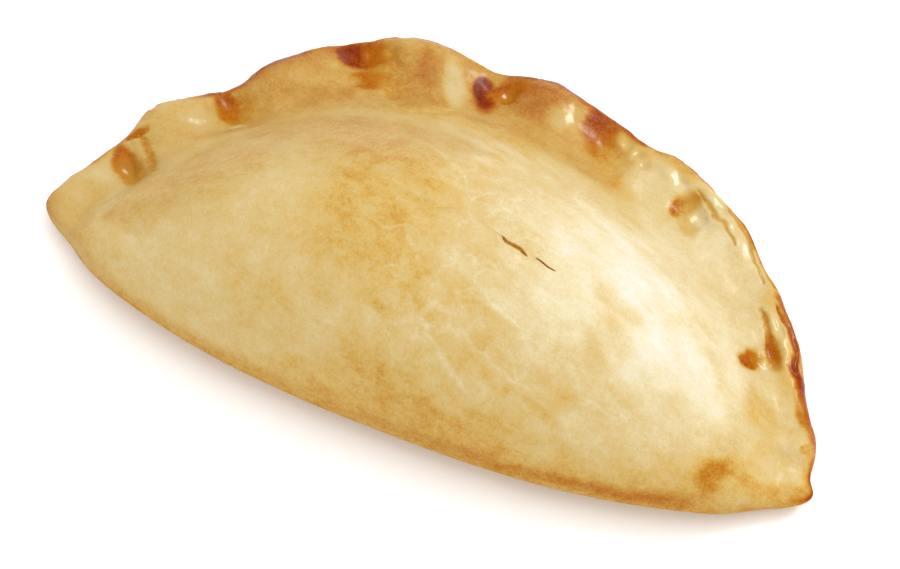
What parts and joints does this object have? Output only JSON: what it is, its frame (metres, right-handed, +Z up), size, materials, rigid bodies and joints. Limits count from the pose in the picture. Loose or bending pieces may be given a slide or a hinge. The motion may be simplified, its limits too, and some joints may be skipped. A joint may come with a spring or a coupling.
{
  "type": "hand-crimped pasty",
  "caption": "Baked half-moon pasty with a domed egg-washed crust, a thumb-crimped edge and a short steam slit",
  "frame": {"origin": "under the middle of the pasty, on the surface it rests on", "axes": "+X along the pasty from tip to tip, +Y towards the crimped edge, +Z up"},
  "size_m": [0.1544, 0.0816, 0.0359],
  "materials": {
    "baked_crust": "egg-washed baked pastry: satin, cream to golden, browned and glossy at the crimps"
  },
  "bodies": {
    "root": {"pasty": "baked_crust"}
  },
  "joints": []
}
